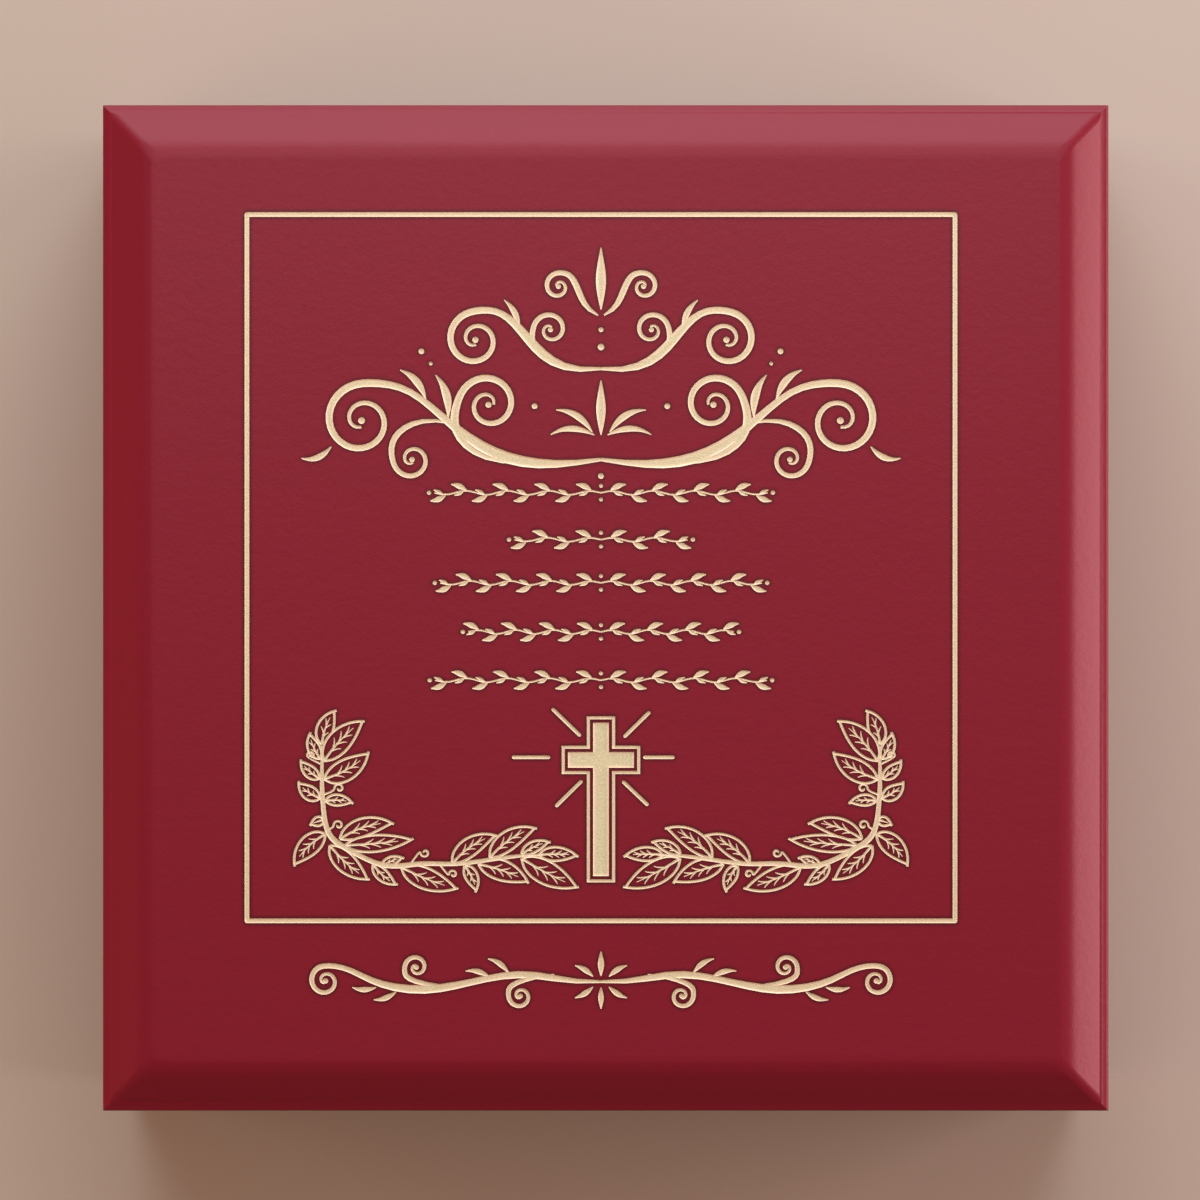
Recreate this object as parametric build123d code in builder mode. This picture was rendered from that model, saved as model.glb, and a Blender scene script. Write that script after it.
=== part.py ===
from build123d import *
from math import radians, tan
import os

# A square wooden keepsake box with a hinged lid, lacquered outside and lined with velvet inside.
# Millimetres. +X points right, +Y back towards the hinges, +Z up.
# The origin is on the table, under the middle of the box.

# Case
box_width = 140.0  # left to right, outside
box_depth = 140.0  # front to back, outside
wall = 10.0
corner_radius = 0.5  # upright outside corners
edge_round = 0.5  # softened edges at the seam and underneath
base_wall_height = 35.0
seam = 0.2  # hairline between the base's rim and the lid's rim

# Floor, let into a groove round the four walls
floor_thickness = 4.0
groove_depth = 4.0
groove_rise = 3.0  # wood left below the groove
groove_clearance = 0.2  # above the floor
floor_shrinkage = 0.5  # between the floor's edge and the groove's bottom, each side

# Felt feet under the four mitred corners
foot_height = 1.5
foot_radius = 4.0
foot_inset = 6.5  # from the outside of the box to the foot's centre
foot_edge = 0.3

# Lid
lid_rail_height = 12.5
lip_clearance = 0.4  # between the lid's rails and the lining that stands up into them
lid_panel_height = 8.0
shoulder_width = 6.6  # from the lid's side in to its flat top
shoulder_drop = 2.9
shoulder_bulge = 0.55  # how far the shoulder's curve stands proud of a straight bevel
lip_width = 1.2  # the narrow rounded lip outside the shoulder
step_drop = 0.3  # from the shoulder's foot down to the lip

# Engraving in the lid's flat top, placed from the middle of the lid
engraving_depth = 0.2
design_x = -0.65  # the engraving sits a little to the left of the middle
border_y = 5.6
border_width = 99.3
border_height = 98.9
border_line = 0.88
cross_y = -21.05  # the middle of the cross's arms
cross_above = 6.1  # from there up to the top of the cross
cross_below = 17.1
cross_span = 11.0
cross_bar = 4.0
cross_line = 0.55  # the cross's outline
cross_gap = 0.31  # bare ground between the outline and the filled cross
ray_line = 0.5
# Each ray: its direction in degrees, and where it starts and ends, from the middle of the arms
rays = [
    (0, 5.85, 10.2),
    (44, 4.2, 9.6),
    (134, 4.1, 9.9),
    (180, 7.1, 12.2),
    (226, 3.9, 9.1),
    (316, 4.1, 9.2),
]

# Hinges
hinge_margin = 32.0  # from the side of the box in to the middle of a hinge
hinge_inset = 3.0  # from the back of the box in to the pin's centre
stop_angle = 100.0  # how far the lid turns before the bevelled back edges meet
leaf_length = 22.0
leaf_width = 5.6  # from the pin's centre to the leaf's front edge
leaf_thickness = 0.9
mortise_clearance = 0.15
knuckle_count = 5
knuckle_radius = 1.5
knuckle_gap = 0.15  # between neighbouring knuckles
knuckle_clearance = 0.3  # round the knuckles
pin_radius = 0.7
pin_fit = 0.03  # radial clearance in the lid's knuckles
pin_grip = 0.01  # radial clearance in the base's knuckles
pin_end = 0.25  # how far each rounded end stands out of the knuckles

# Hinge screws
screw_spacing = 12.0
screw_setback = 3.8  # from the pin's centre to the screws
screw_length = 7.0
screw_radius = 0.8
screw_head_radius = 1.4
screw_fit = 0.05  # radial clearance in the leaf
pilot_clearance = 0.02
screw_point = 1.6
recess_span = 1.7
recess_width = 0.45
recess_depth = 0.4

# Magnets that hold the lid shut
magnet_margin = 25.0  # from the side of the box in to the middle of a magnet
magnet_radius = 3.0
magnet_thickness = 2.0
magnet_edge = 0.25
magnet_fit = 0.02

# Lining
liner_thickness = 1.6
liner_lip = 2.5  # how far the lining stands up past the base's rim
liner_round = 0.7
liner_gap = 0.1  # where two liners meet in a corner
board_thickness = 1.2
pad_thickness = 3.5
pad_round = 1.7
pad_corner = 2.0
pad_clearance = 0.3

# Levels
base_bottom = foot_height
rim = base_bottom + base_wall_height
lid_rim = rim + seam
panel_bottom = lid_rim + lid_rail_height
panel_top = panel_bottom + lid_panel_height
groove_bottom = base_bottom + groove_rise
floor_top = groove_bottom + floor_thickness

# Plan sizes that follow from the case
inner_width = box_width - 2 * wall
inner_depth = box_depth - 2 * wall
rail = wall - lip_clearance
pad_width = inner_width - 2 * (liner_thickness + pad_clearance)
pad_depth = inner_depth - 2 * (liner_thickness + pad_clearance)
lid_pad_width = box_width - 2 * (rail + pad_clearance)
lid_pad_depth = box_depth - 2 * (rail + pad_clearance)

# The line of the hinge pins, and what lines up with it
axis_y = box_depth / 2 - hinge_inset
axis_z = rim + seam / 2
knuckle_length = leaf_length / knuckle_count
screw_y = axis_y - screw_setback
magnet_y = -box_depth / 2 + wall / 2
hinge_places = {"left": hinge_margin - box_width / 2, "right": box_width / 2 - hinge_margin}
magnet_places = {"left": magnet_margin - box_width / 2, "right": box_width / 2 - magnet_margin}

sides = ["front", "right", "back", "left"]


def write(piece, name):
    """Labels one finished piece and writes it to its own file."""
    piece.label = name
    export_step(piece, f"parts/{name}.step")


def corners(half_x, half_y):
    """Corners of a rectangle about the origin, in the order of the sides."""
    return [(-half_x, -half_y), (half_x, -half_y), (half_x, half_y), (-half_x, half_y)]


def mitre_face(index, thickness):
    """Plan of one mitred side, from an outside corner to the next."""
    outside = corners(box_width / 2, box_depth / 2)
    inside = corners(box_width / 2 - thickness, box_depth / 2 - thickness)
    after = (index + 1) % len(sides)
    Polygon(outside[index], outside[after], inside[after], inside[index], align=None)


def cut_stop_bevel(direction):
    """Bevels the back edge away from the hinge pins' line: down with -1, up with +1."""
    reach = 2 * hinge_inset
    drop = reach * tan(radians(stop_angle / 2))
    with BuildSketch(Plane.YZ) as bevel:
        Polygon(
            (axis_y, axis_z),
            (axis_y + reach, axis_z),
            (axis_y + reach, axis_z + direction * drop),
            align=None,
        )
    extrude(bevel.sketch, amount=box_width, both=True, mode=Mode.SUBTRACT)


def cut_hinge_seat(x, level, direction):
    """Lets one hinge leaf, its knuckles and its screws into a rim, going up with +1 or down with -1."""
    with BuildSketch(Plane.XY.offset(level)) as mortise:
        with Locations((x, axis_y - (leaf_width + mortise_clearance) / 2)):
            Rectangle(leaf_length + 2 * mortise_clearance, leaf_width + mortise_clearance)
    extrude(mortise.sketch, amount=direction * leaf_thickness, mode=Mode.SUBTRACT)
    pocket_length = leaf_length + 2 * (pin_end + knuckle_clearance)
    with BuildSketch(Plane.YZ.offset(x - pocket_length / 2)) as knuckle_pocket:
        with Locations((axis_y, axis_z)):
            Circle(knuckle_radius + knuckle_clearance)
    extrude(knuckle_pocket.sketch, amount=pocket_length, mode=Mode.SUBTRACT)
    with BuildSketch(Plane.XY.offset(level)) as pilots:
        with Locations((x, screw_y)):
            with GridLocations(screw_spacing, 0, 2, 1):
                Circle(screw_radius + pilot_clearance)
    extrude(pilots.sketch, amount=direction * screw_length, mode=Mode.SUBTRACT)


def cut_magnet_seats(level, direction):
    """Bores a shallow round seat for each magnet into a rim."""
    with BuildSketch(Plane.XY.offset(level)) as seats:
        with Locations(*[(x, magnet_y) for x in magnet_places.values()]):
            Circle(magnet_radius + magnet_fit)
    extrude(seats.sketch, amount=direction * magnet_thickness, mode=Mode.SUBTRACT)


# Base: the four walls in one, before they are mitred apart
with BuildPart() as base_frame:
    with BuildSketch(Plane.XY.offset(base_bottom)):
        RectangleRounded(box_width, box_depth, corner_radius)
    extrude(amount=base_wall_height)
    long_edges = base_frame.edges().group_by(Axis.Z)
    fillet(long_edges[0] + long_edges[-1], edge_round)
    with BuildSketch(Plane.XY.offset(base_bottom)):
        Rectangle(inner_width, inner_depth)
    extrude(amount=base_wall_height, mode=Mode.SUBTRACT)
    with BuildSketch(Plane.XY.offset(groove_bottom)):
        Rectangle(inner_width + 2 * groove_depth, inner_depth + 2 * groove_depth)
    extrude(amount=floor_thickness + groove_clearance, mode=Mode.SUBTRACT)
    cut_stop_bevel(-1)

# The front wall holds the base's magnets, and the back wall the base's hinge leaves
for index, side in enumerate(sides):
    with BuildPart() as base_wall:
        add(base_frame.part)
        with BuildSketch(Plane.XY.offset(base_bottom)):
            mitre_face(index, wall)
        extrude(amount=base_wall_height, mode=Mode.INTERSECT)
        if side == "front":
            cut_magnet_seats(rim, -1)
        if side == "back":
            for x in hinge_places.values():
                cut_hinge_seat(x, rim, -1)
    write(base_wall.part, f"{side}_wall")

# Floor, captive in the groove and resting on its lower side
with BuildPart() as floor_panel:
    with BuildSketch(Plane.XY.offset(groove_bottom)):
        Rectangle(
            inner_width + 2 * (groove_depth - floor_shrinkage),
            inner_depth + 2 * (groove_depth - floor_shrinkage),
        )
    extrude(amount=floor_thickness)
write(floor_panel.part, "floor_panel")

# Felt feet
for depth_name, y in (("front", -1), ("back", 1)):
    for hand, x in (("left", -1), ("right", 1)):
        with BuildPart() as foot:
            with BuildSketch(Plane.XY):
                with Locations((x * (box_width / 2 - foot_inset), y * (box_depth / 2 - foot_inset))):
                    Circle(foot_radius)
            extrude(amount=foot_height)
            chamfer(foot.edges().group_by(Axis.Z)[0], foot_edge)
        write(foot.part, f"{depth_name}_{hand}_foot")

# Lid: the four rails in one, before they are mitred apart
with BuildPart() as lid_frame:
    with BuildSketch(Plane.XY.offset(lid_rim)):
        RectangleRounded(box_width, box_depth, corner_radius)
    extrude(amount=lid_rail_height)
    fillet(lid_frame.edges().group_by(Axis.Z)[0], edge_round)
    with BuildSketch(Plane.XY.offset(lid_rim)):
        Rectangle(box_width - 2 * rail, box_depth - 2 * rail)
    extrude(amount=lid_rail_height, mode=Mode.SUBTRACT)
    cut_stop_bevel(1)

for index, side in enumerate(sides):
    with BuildPart() as lid_rail:
        add(lid_frame.part)
        with BuildSketch(Plane.XY.offset(lid_rim)):
            mitre_face(index, rail)
        extrude(amount=lid_rail_height, mode=Mode.INTERSECT)
        if side == "front":
            cut_magnet_seats(lid_rim, 1)
        if side == "back":
            for x in hinge_places.values():
                cut_hinge_seat(x, lid_rim, 1)
    write(lid_rail.part, f"lid_{side}_rail")


def lid_panel_face(half):
    """End view of the lid's panel: flat on top, a curved shoulder down to a step, then a rounded lip."""
    lip_level = panel_top - shoulder_drop - step_drop
    side_top = (half, lip_level - lip_width)
    lip_top = (half - lip_width, lip_level)
    shoulder_foot = (half - lip_width, panel_top - shoulder_drop)
    shoulder_head = (half - shoulder_width, panel_top)
    with BuildLine() as outline:
        Polyline((0, panel_bottom), (half, panel_bottom), side_top)
        RadiusArc(side_top, lip_top, -lip_width)
        Line(lip_top, shoulder_foot)
        SagittaArc(shoulder_foot, shoulder_head, -shoulder_bulge)
        Line(shoulder_head, (0, panel_top))
        mirror(about=Plane.YZ)
    make_face(outline.edges())


def bar_cross(inset):
    """The cross's outline drawn in by an inset."""
    with Locations((design_x, cross_y + (cross_above - cross_below) / 2)):
        Rectangle(cross_bar - 2 * inset, cross_above + cross_below - 2 * inset)
    with Locations((design_x, cross_y)):
        Rectangle(cross_span - 2 * inset, cross_bar - 2 * inset)


# Lid panel: both end views crossed give mitred shoulders, and the engraving is cut into the flat
with BuildPart() as lid_panel:
    with BuildSketch(Plane.XZ):
        lid_panel_face(box_width / 2)
    extrude(amount=box_depth, both=True)
    with BuildSketch(Plane.YZ):
        lid_panel_face(box_depth / 2)
    extrude(amount=box_width, both=True, mode=Mode.INTERSECT)
    upright_corners = lid_panel.edges().filter_by(Axis.Z).group_by(SortBy.LENGTH)[-1]
    fillet(upright_corners, corner_radius)
    with BuildSketch(Plane.XY.offset(panel_top)) as border:
        with Locations((design_x, border_y)):
            Rectangle(border_width, border_height)
            Rectangle(border_width - 2 * border_line, border_height - 2 * border_line, mode=Mode.SUBTRACT)
    extrude(amount=-engraving_depth, mode=Mode.SUBTRACT)
    with BuildSketch(Plane.XY.offset(panel_top)) as cross_outline:
        bar_cross(0)
        offset(amount=-cross_line, kind=Kind.INTERSECTION, mode=Mode.SUBTRACT)
    extrude(amount=-engraving_depth, mode=Mode.SUBTRACT)
    with BuildSketch(Plane.XY.offset(panel_top)) as cross_fill:
        bar_cross(cross_line + cross_gap)
        for direction, start, end in rays:
            with Locations(Location((design_x, cross_y, 0), direction)):
                with Locations(((start + end) / 2, 0)):
                    SlotOverall(end - start, ray_line)
    extrude(amount=-engraving_depth, mode=Mode.SUBTRACT)
write(lid_panel.part, "lid_panel")


def make_leaf(x, level, direction, own_first):
    """One hinge leaf: a plate let into a rim, with every other knuckle of the barrel."""
    others = [n for n in range(knuckle_count) if (n % 2 == 0) != own_first]
    own = [n for n in range(knuckle_count) if n not in others]
    bore = pin_radius + (pin_grip if own_first else pin_fit)
    left_end = x - leaf_length / 2
    with BuildPart() as leaf:
        with BuildSketch(Plane.XY.offset(level)):
            with Locations((x, axis_y - leaf_width / 2)):
                Rectangle(leaf_length, leaf_width)
        extrude(amount=direction * leaf_thickness)
        for n in own:
            with BuildSketch(Plane.YZ.offset(left_end + n * knuckle_length)):
                with Locations((axis_y, axis_z)):
                    Circle(knuckle_radius)
            extrude(amount=knuckle_length)
        for n in others:
            room = knuckle_length + 2 * knuckle_gap
            with BuildSketch(Plane.YZ.offset(left_end + n * knuckle_length - knuckle_gap)):
                with Locations((axis_y, axis_z)):
                    Circle(knuckle_radius + knuckle_clearance)
            extrude(amount=room, mode=Mode.SUBTRACT)
        with BuildSketch(Plane.YZ.offset(left_end)):
            with Locations((axis_y, axis_z)):
                Circle(bore)
        extrude(amount=leaf_length, mode=Mode.SUBTRACT)
        rim_plane = Plane(origin=(x, screw_y, level), x_dir=(1, 0, 0), z_dir=(0, 0, -direction))
        with Locations(rim_plane):
            with GridLocations(screw_spacing, 0, 2, 1):
                CounterSinkHole(screw_radius + screw_fit, screw_head_radius + screw_fit, leaf_thickness, 90)
    return leaf.part


# One screw, standing on its point's end: the head's face is at the origin, and the shank runs down
with BuildPart() as hinge_screw:
    head_height = screw_head_radius - screw_radius
    with BuildSketch(Plane.XZ):
        with BuildLine():
            Polyline(
                (0, 0),
                (screw_head_radius, 0),
                (screw_radius, -head_height),
                (screw_radius, screw_point - screw_length),
                (0, -screw_length),
                close=True,
            )
        make_face()
    revolve(axis=Axis.Z)
    with BuildSketch(Plane.XY):
        Rectangle(recess_span, recess_width)
        Rectangle(recess_width, recess_span)
    extrude(amount=-recess_depth, mode=Mode.SUBTRACT)


def make_screws(x, level, direction):
    """The two screws of one hinge leaf, driven into the rim."""
    turn = 0 if direction < 0 else 180
    with BuildPart() as screws:
        with Locations(Location((x, screw_y, level), (turn, 0, 0))):
            with GridLocations(screw_spacing, 0, 2, 1):
                add(hinge_screw.part)
    return screws.part


for hand, x in hinge_places.items():
    write(make_leaf(x, rim, -1, True), f"{hand}_hinge_base_leaf")
    write(make_leaf(x, lid_rim, 1, False), f"{hand}_hinge_lid_leaf")
    write(make_screws(x, rim, -1), f"{hand}_hinge_base_screws")
    write(make_screws(x, lid_rim, 1), f"{hand}_hinge_lid_screws")
    with BuildPart() as hinge_pin:
        with BuildSketch(Plane.YZ.offset(x - leaf_length / 2 - pin_end)):
            with Locations((axis_y, axis_z)):
                Circle(pin_radius)
        extrude(amount=leaf_length + 2 * pin_end)
        fillet(hinge_pin.edges().filter_by(GeomType.CIRCLE), pin_end)
    write(hinge_pin.part, f"{hand}_hinge_pin")

# Magnets, flush with the two rims
for hand, x in magnet_places.items():
    for level, direction, owner in ((rim, -1, "base"), (lid_rim, 1, "lid")):
        with BuildPart() as magnet:
            with BuildSketch(Plane.XY.offset(level)):
                with Locations((x, magnet_y)):
                    Circle(magnet_radius)
            extrude(amount=direction * magnet_thickness)
            chamfer(magnet.edges().filter_by(GeomType.CIRCLE), magnet_edge)
        write(magnet.part, f"{owner}_{hand}_magnet")

# Wall lining: velvet-covered boards that stand on the floor, their tops rounded where they pass the rim
liner_height = rim + liner_lip - floor_top
for side in sides:
    across = side in ("front", "back")
    outward = 1 if side in ("right", "back") else -1
    with BuildPart() as liner:
        with BuildSketch(Plane.XY.offset(floor_top)):
            if across:
                with Locations((0, outward * (inner_depth - liner_thickness) / 2)):
                    Rectangle(inner_width, liner_thickness)
            else:
                with Locations((outward * (inner_width - liner_thickness) / 2, 0)):
                    Rectangle(liner_thickness, inner_depth - 2 * (liner_thickness + liner_gap))
        extrude(amount=liner_height)
        top_edges = liner.edges().group_by(Axis.Z)[-1]
        fillet(top_edges.filter_by(Axis.X if across else Axis.Y), min(liner_round, 0.45 * liner_thickness))
    write(liner.part, f"{side}_liner")


def make_pad(width, depth, level, direction):
    """A velvet pad: flat on its board, with full rounded edges on the side that shows."""
    with BuildPart() as pad:
        with BuildSketch(Plane.XY.offset(level)):
            RectangleRounded(width, depth, pad_corner)
        extrude(amount=direction * pad_thickness)
        shown = pad.edges().group_by(Axis.Z)[-1 if direction > 0 else 0]
        fillet(shown, min(pad_round, 0.9 * pad_thickness))
    return pad.part


def make_board(width, depth, level, direction):
    """The card that a pad's velvet is drawn over."""
    with BuildPart() as board:
        with BuildSketch(Plane.XY.offset(level)):
            RectangleRounded(width, depth, pad_corner)
        extrude(amount=direction * board_thickness)
    return board.part


write(make_board(pad_width, pad_depth, floor_top, 1), "floor_board")
write(make_pad(pad_width, pad_depth, floor_top + board_thickness, 1), "floor_pad")
write(make_board(lid_pad_width, lid_pad_depth, panel_bottom, -1), "lid_board")
write(make_pad(lid_pad_width, lid_pad_depth, panel_bottom - board_thickness, -1), "lid_pad")
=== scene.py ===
# %% [markdown]
# A keepsake box of red lacquered wood, with an engraved and gilded lid.
#
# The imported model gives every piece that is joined, fitted or moved, at its real size. This
# script dresses it: it engraves the lid, wraps the lining in velvet, mixes the finishes and
# sets up the studio. Everything is in metres, in the model's own frame: x runs to the right,
# y to the back where the hinges are, and z up.

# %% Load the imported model
import bmesh
import bpy
from math import ceil, copysign, cos, hypot, pi, radians, sin
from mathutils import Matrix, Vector


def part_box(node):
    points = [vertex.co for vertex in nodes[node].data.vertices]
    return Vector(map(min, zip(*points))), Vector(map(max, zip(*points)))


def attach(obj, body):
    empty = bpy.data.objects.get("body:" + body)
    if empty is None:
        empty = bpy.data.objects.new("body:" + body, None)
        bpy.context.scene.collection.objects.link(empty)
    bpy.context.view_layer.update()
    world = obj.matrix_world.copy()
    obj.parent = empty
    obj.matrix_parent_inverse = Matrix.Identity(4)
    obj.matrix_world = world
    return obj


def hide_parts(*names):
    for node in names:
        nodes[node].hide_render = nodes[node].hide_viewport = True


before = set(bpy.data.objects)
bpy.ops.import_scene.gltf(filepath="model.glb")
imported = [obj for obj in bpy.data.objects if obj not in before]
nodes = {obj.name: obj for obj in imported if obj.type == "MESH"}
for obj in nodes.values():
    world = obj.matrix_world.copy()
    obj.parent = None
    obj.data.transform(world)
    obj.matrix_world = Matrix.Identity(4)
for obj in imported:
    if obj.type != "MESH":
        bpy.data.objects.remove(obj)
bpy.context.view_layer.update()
mm = 0.001
print(len(nodes), "pieces in the frame")

# %% [markdown]
# ## The camera
#
# The photograph looks straight down on the closed lid, with the hinged side at the top of the
# picture. A lens as long as 200 mm, from about a metre, keeps the lip, the shoulder and the
# engraving at one scale, as the photograph has them. A short lens would squeeze the lip.

# %% Camera
picture_width = 166.4 * mm
picture_middle = (-0.79 * mm, 1.11 * mm)
lens = 200
sensor = 36

lid_low, lid_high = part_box("lid_panel")
camera_data = bpy.data.cameras.new("top_camera")
camera_data.lens = lens
camera_data.sensor_width = sensor
camera_data.clip_start = 0.01
camera = bpy.data.objects.new("top_camera", camera_data)
camera.location = (*picture_middle, lid_high.z + picture_width * lens / sensor)
bpy.context.scene.collection.objects.link(camera)
bpy.context.scene.camera = camera
print("camera", round(camera.location.z, 3), "m above the floor")

# %% [markdown]
# ## Working by hand, in code
#
# Most pieces are modelled as by hand at the screen: add a primitive, go into edit mode, pick
# faces and edges, and shape them. An operator works on all that is selected, so these helpers
# clear the selection first and then pick by place.

# %% Helpers for modelling
def only(piece):
    """Makes one object the selected and active one."""
    bpy.ops.object.select_all(action="DESELECT")
    piece.select_set(True)
    bpy.context.view_layer.objects.active = piece
    return piece


def newest(name):
    """Names the object that an operator has just added."""
    piece = bpy.context.active_object
    piece.name = name
    piece.data.name = name
    return only(piece)


def pick(piece, kind, wanted):
    """In edit mode, selects the edges or faces for which wanted() is true, and gives the mesh."""
    bpy.ops.mesh.select_mode(type={"edges": "EDGE", "faces": "FACE"}[kind])
    bpy.ops.mesh.select_all(action="DESELECT")
    mesh = bmesh.from_edit_mesh(piece.data)
    for part in getattr(mesh, kind):
        if wanted(part):
            part.select_set(True)
    mesh.select_flush_mode()
    bmesh.update_edit_mesh(piece.data)
    return mesh


def face_outward():
    """In edit mode, selects everything and turns its faces outward."""
    bpy.ops.mesh.select_all(action="SELECT")
    bpy.ops.mesh.normals_make_consistent(inside=False)


def settle(piece):
    """Puts the object at the origin, unturned and unscaled, with its place in its mesh."""
    only(piece)
    bpy.ops.object.transform_apply(location=True, rotation=True, scale=True)


def modify(piece, kind, **settings):
    """Adds a modifier and applies it."""
    only(piece)
    modifier = piece.modifiers.new(kind.lower(), kind)
    for name, value in settings.items():
        setattr(modifier, name, value)
    bpy.ops.object.modifier_apply(modifier=modifier.name)


print("helpers ready")

# %% [markdown]
# ## The floor and the light
#
# The photograph's light is soft and slightly warm. Here a plain pale floor catches the
# shadow, and a warm sky gives even light from all round. Three softboxes shape it:
#
# - one overhead, a little behind, whose sheen makes the flat of the lid paler to the back
# - one low behind, mirrored in the back shoulder, which throws the soft shadow to the front
# - one low and rosy at the right, mirrored in the steeper part of the right shoulder
#
# A weak warm fill at the left keeps the shadow side open. It isn't mirrored in the lacquer.
# Together they light a level white card to about white, so a finish shows about as its
# colour is written.

# %% Floor
floor_colour = (0.405, 0.36, 0.30, 1)
floor_size = 8

bpy.ops.object.select_all(action="DESELECT")
bpy.ops.mesh.primitive_plane_add(size=floor_size)
floor = newest("pale_floor")
floor_material = bpy.data.materials.new("pale_floor")
floor_material.use_nodes = True
floor_shader = floor_material.node_tree.nodes["Principled BSDF"]
floor_shader.inputs["Base Color"].default_value = floor_colour
floor_shader.inputs["Roughness"].default_value = 0.7
floor.data.materials.append(floor_material)
print("floor", floor.name)

# %% Sky and softboxes
sky_colour = (1.0, 0.66, 0.50, 1)
sky_strength = 0.335

world = bpy.data.worlds.new("studio")
world.use_nodes = True
sky = world.node_tree.nodes["Background"]
sky.inputs["Color"].default_value = sky_colour
sky.inputs["Strength"].default_value = sky_strength
bpy.context.scene.world = world


def softbox(name, place, wide, high, watts, colour):
    """A rectangular area lamp that faces the lid. Its wide side is level."""
    lamp = bpy.data.lights.new(name, "AREA")
    lamp.shape = "RECTANGLE"
    lamp.size = wide
    lamp.size_y = high
    lamp.energy = watts
    lamp.color = colour
    holder = bpy.data.objects.new(name, lamp)
    holder.location = place
    holder.rotation_mode = "QUATERNION"
    from_lid = Vector(place) - Vector((0, 0, lid_high.z))
    holder.rotation_quaternion = from_lid.to_track_quat("Z", "Y")
    bpy.context.scene.collection.objects.link(holder)
    return holder


daylight = (0.94, 0.94, 1.0)
rosy = (1.0, 0.74, 0.75)
evening = (1.0, 0.54, 0.34)

softbox("overhead_softbox", (0.0, 0.155, 0.457), 0.42, 0.11, 0.66, daylight)
softbox("back_softbox", (0.0, 0.69, 0.42), 0.80, 0.66, 7.5, daylight)
softbox("right_softbox", (0.67, 0.0, 0.22), 0.45, 0.28, 4.8, rosy)
left_fill = softbox("left_fill", (-0.50, -0.10, 0.20), 0.5, 0.25, 1.4, evening)
left_fill.visible_glossy = False
bpy.context.scene.view_settings.view_transform = "Standard"
print("studio lit")

# %% [markdown]
# ## Effects that several finishes share
#
# Each effect is a node group: built once, then placed in every material with its own values.
#
# `edge_band` marks a narrow band along sharp edges. It asks the Bevel node how the surface
# would face if its edges were rounded, and measures how far that is from how it really
# faces. On the engraving it places the dark line round each cut, partly scorch and partly
# painted shade, and the pale rim inside, a painted highlight.
#
# `fine_grain` draws soft streaks along one direction, for wood under lacquer and brushed
# metal. `speckle` is a close spatter of light and dark, for paint and felt.

# %% Node helpers
def set_up(made, **inputs):
    """Sets a node's inputs by their names, with _ for a space."""
    for name, value in inputs.items():
        made.inputs[name.replace("_", " ")].default_value = value
    return made


def node(tree, kind, **inputs):
    """Adds a shader node and sets its inputs."""
    return set_up(tree.nodes.new(kind), **inputs)


def reckon(tree, operation, first, second, clamp=False):
    """A Math node. first and second are sockets or numbers."""
    made = tree.nodes.new("ShaderNodeMath")
    made.operation = operation
    made.use_clamp = clamp
    for place, value in enumerate((first, second)):
        if isinstance(value, (int, float)):
            made.inputs[place].default_value = value
        else:
            tree.links.new(value, made.inputs[place])
    return made.outputs[0]


def blend_colours(tree, mask, low, high):
    """A colour that runs from low to high as the mask runs from 0 to 1."""
    made = tree.nodes.new("ShaderNodeMix")
    made.data_type = "RGBA"
    # Inputs 6 and 7 and output 2 are the Mix node's colour sockets.
    for place, value in ((0, mask), (6, low), (7, high)):
        if isinstance(value, (tuple, float)):
            made.inputs[place].default_value = value
        else:
            tree.links.new(value, made.inputs[place])
    return made.outputs[2]


def new_group(name, inputs, outputs):
    """An empty node group with number sockets. inputs gives each one's usual value."""
    tree = bpy.data.node_groups.new(name, "ShaderNodeTree")
    for label, value in inputs.items():
        socket = tree.interface.new_socket(label, in_out="INPUT", socket_type="NodeSocketFloat")
        socket.default_value = value
    for label in outputs:
        tree.interface.new_socket(label, in_out="OUTPUT", socket_type="NodeSocketFloat")
    return tree, tree.nodes.new("NodeGroupInput").outputs, tree.nodes.new("NodeGroupOutput").inputs


def place_group(tree, group, **values):
    """Puts a group in a material, with its own values."""
    made = tree.nodes.new("ShaderNodeGroup")
    made.node_tree = group
    return set_up(made, **values).outputs


print("node helpers ready")

# %% The edge band group
edge_band, given, result = new_group("edge_band", {"Width": 0.3 * mm, "Gain": 30.0}, ["Band"])
rounded = edge_band.nodes.new("ShaderNodeBevel")
rounded.samples = 6
edge_band.links.new(given["Width"], rounded.inputs["Radius"])
facing = edge_band.nodes.new("ShaderNodeNewGeometry")
agree = edge_band.nodes.new("ShaderNodeVectorMath")
agree.operation = "DOT_PRODUCT"
edge_band.links.new(rounded.outputs[0], agree.inputs[0])
edge_band.links.new(facing.outputs["Normal"], agree.inputs[1])
turned = reckon(edge_band, "SUBTRACT", 1.0, agree.outputs["Value"])
band = reckon(edge_band, "MULTIPLY", turned, given["Gain"], clamp=True)
edge_band.links.new(band, result["Band"])
print("group", edge_band.name)

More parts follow.
